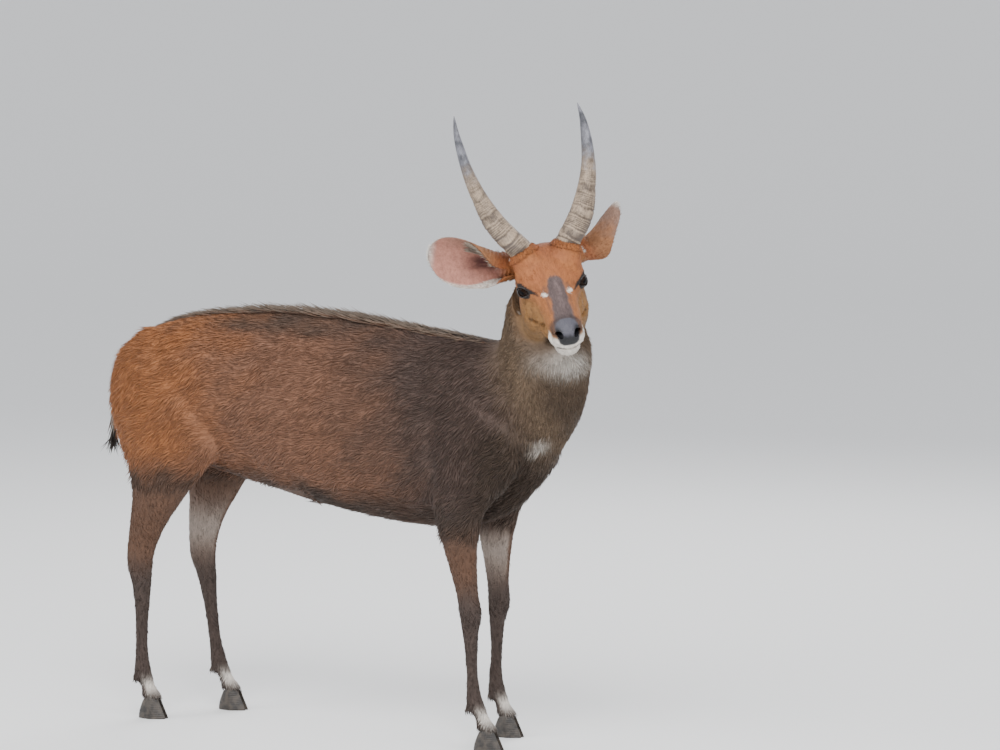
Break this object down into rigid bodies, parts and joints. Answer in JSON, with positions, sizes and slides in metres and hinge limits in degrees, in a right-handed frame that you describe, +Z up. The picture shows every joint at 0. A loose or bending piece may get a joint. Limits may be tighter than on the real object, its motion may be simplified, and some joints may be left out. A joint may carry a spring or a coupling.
{
  "type": "bushbuck ram",
  "caption": "Life-size adult male bushbuck standing alert with its head turned to its right, spiral horns, one ear out sideways and one raised.",
  "frame": {"origin": "on the floor, under the centre of the whole animal's bounding box", "axes": "+X towards the chest, +Y to the animal's left, +Z up; the soles of the hooves lie at Z = 0"},
  "size_m": [1.1224, 0.3618, 1.1764],
  "materials": {
    "coat": "short wavy hair, rough",
    "neck_coat": "short dense hair",
    "face": "very short sleek hair",
    "leg_coat": "short sleek hair",
    "ear_skin": "thin skin with fine hair",
    "horn": "ringed horn, smooth at the tip",
    "hoof": "dull dark horn",
    "eye": "wet and glossy"
  },
  "bodies": {
    "root": {"torso": "coat", "neck": "neck_coat", "head": "face", "tail": "coat", "foreleg_right": "leg_coat", "foreleg_left": "leg_coat", "hindleg_right": "leg_coat", "hindleg_left": "leg_coat", "ear_right": "ear_skin", "ear_left": "ear_skin", "horn_right": "horn", "horn_left": "horn", "eye_right": "eye", "eye_left": "eye", "claw_foreleg_right_inner": "hoof", "claw_foreleg_right_outer": "hoof", "claw_foreleg_left_inner": "hoof", "claw_foreleg_left_outer": "hoof", "claw_hindleg_right_inner": "hoof", "claw_hindleg_right_outer": "hoof", "claw_hindleg_left_inner": "hoof", "claw_hindleg_left_outer": "hoof"}
  },
  "joints": []
}
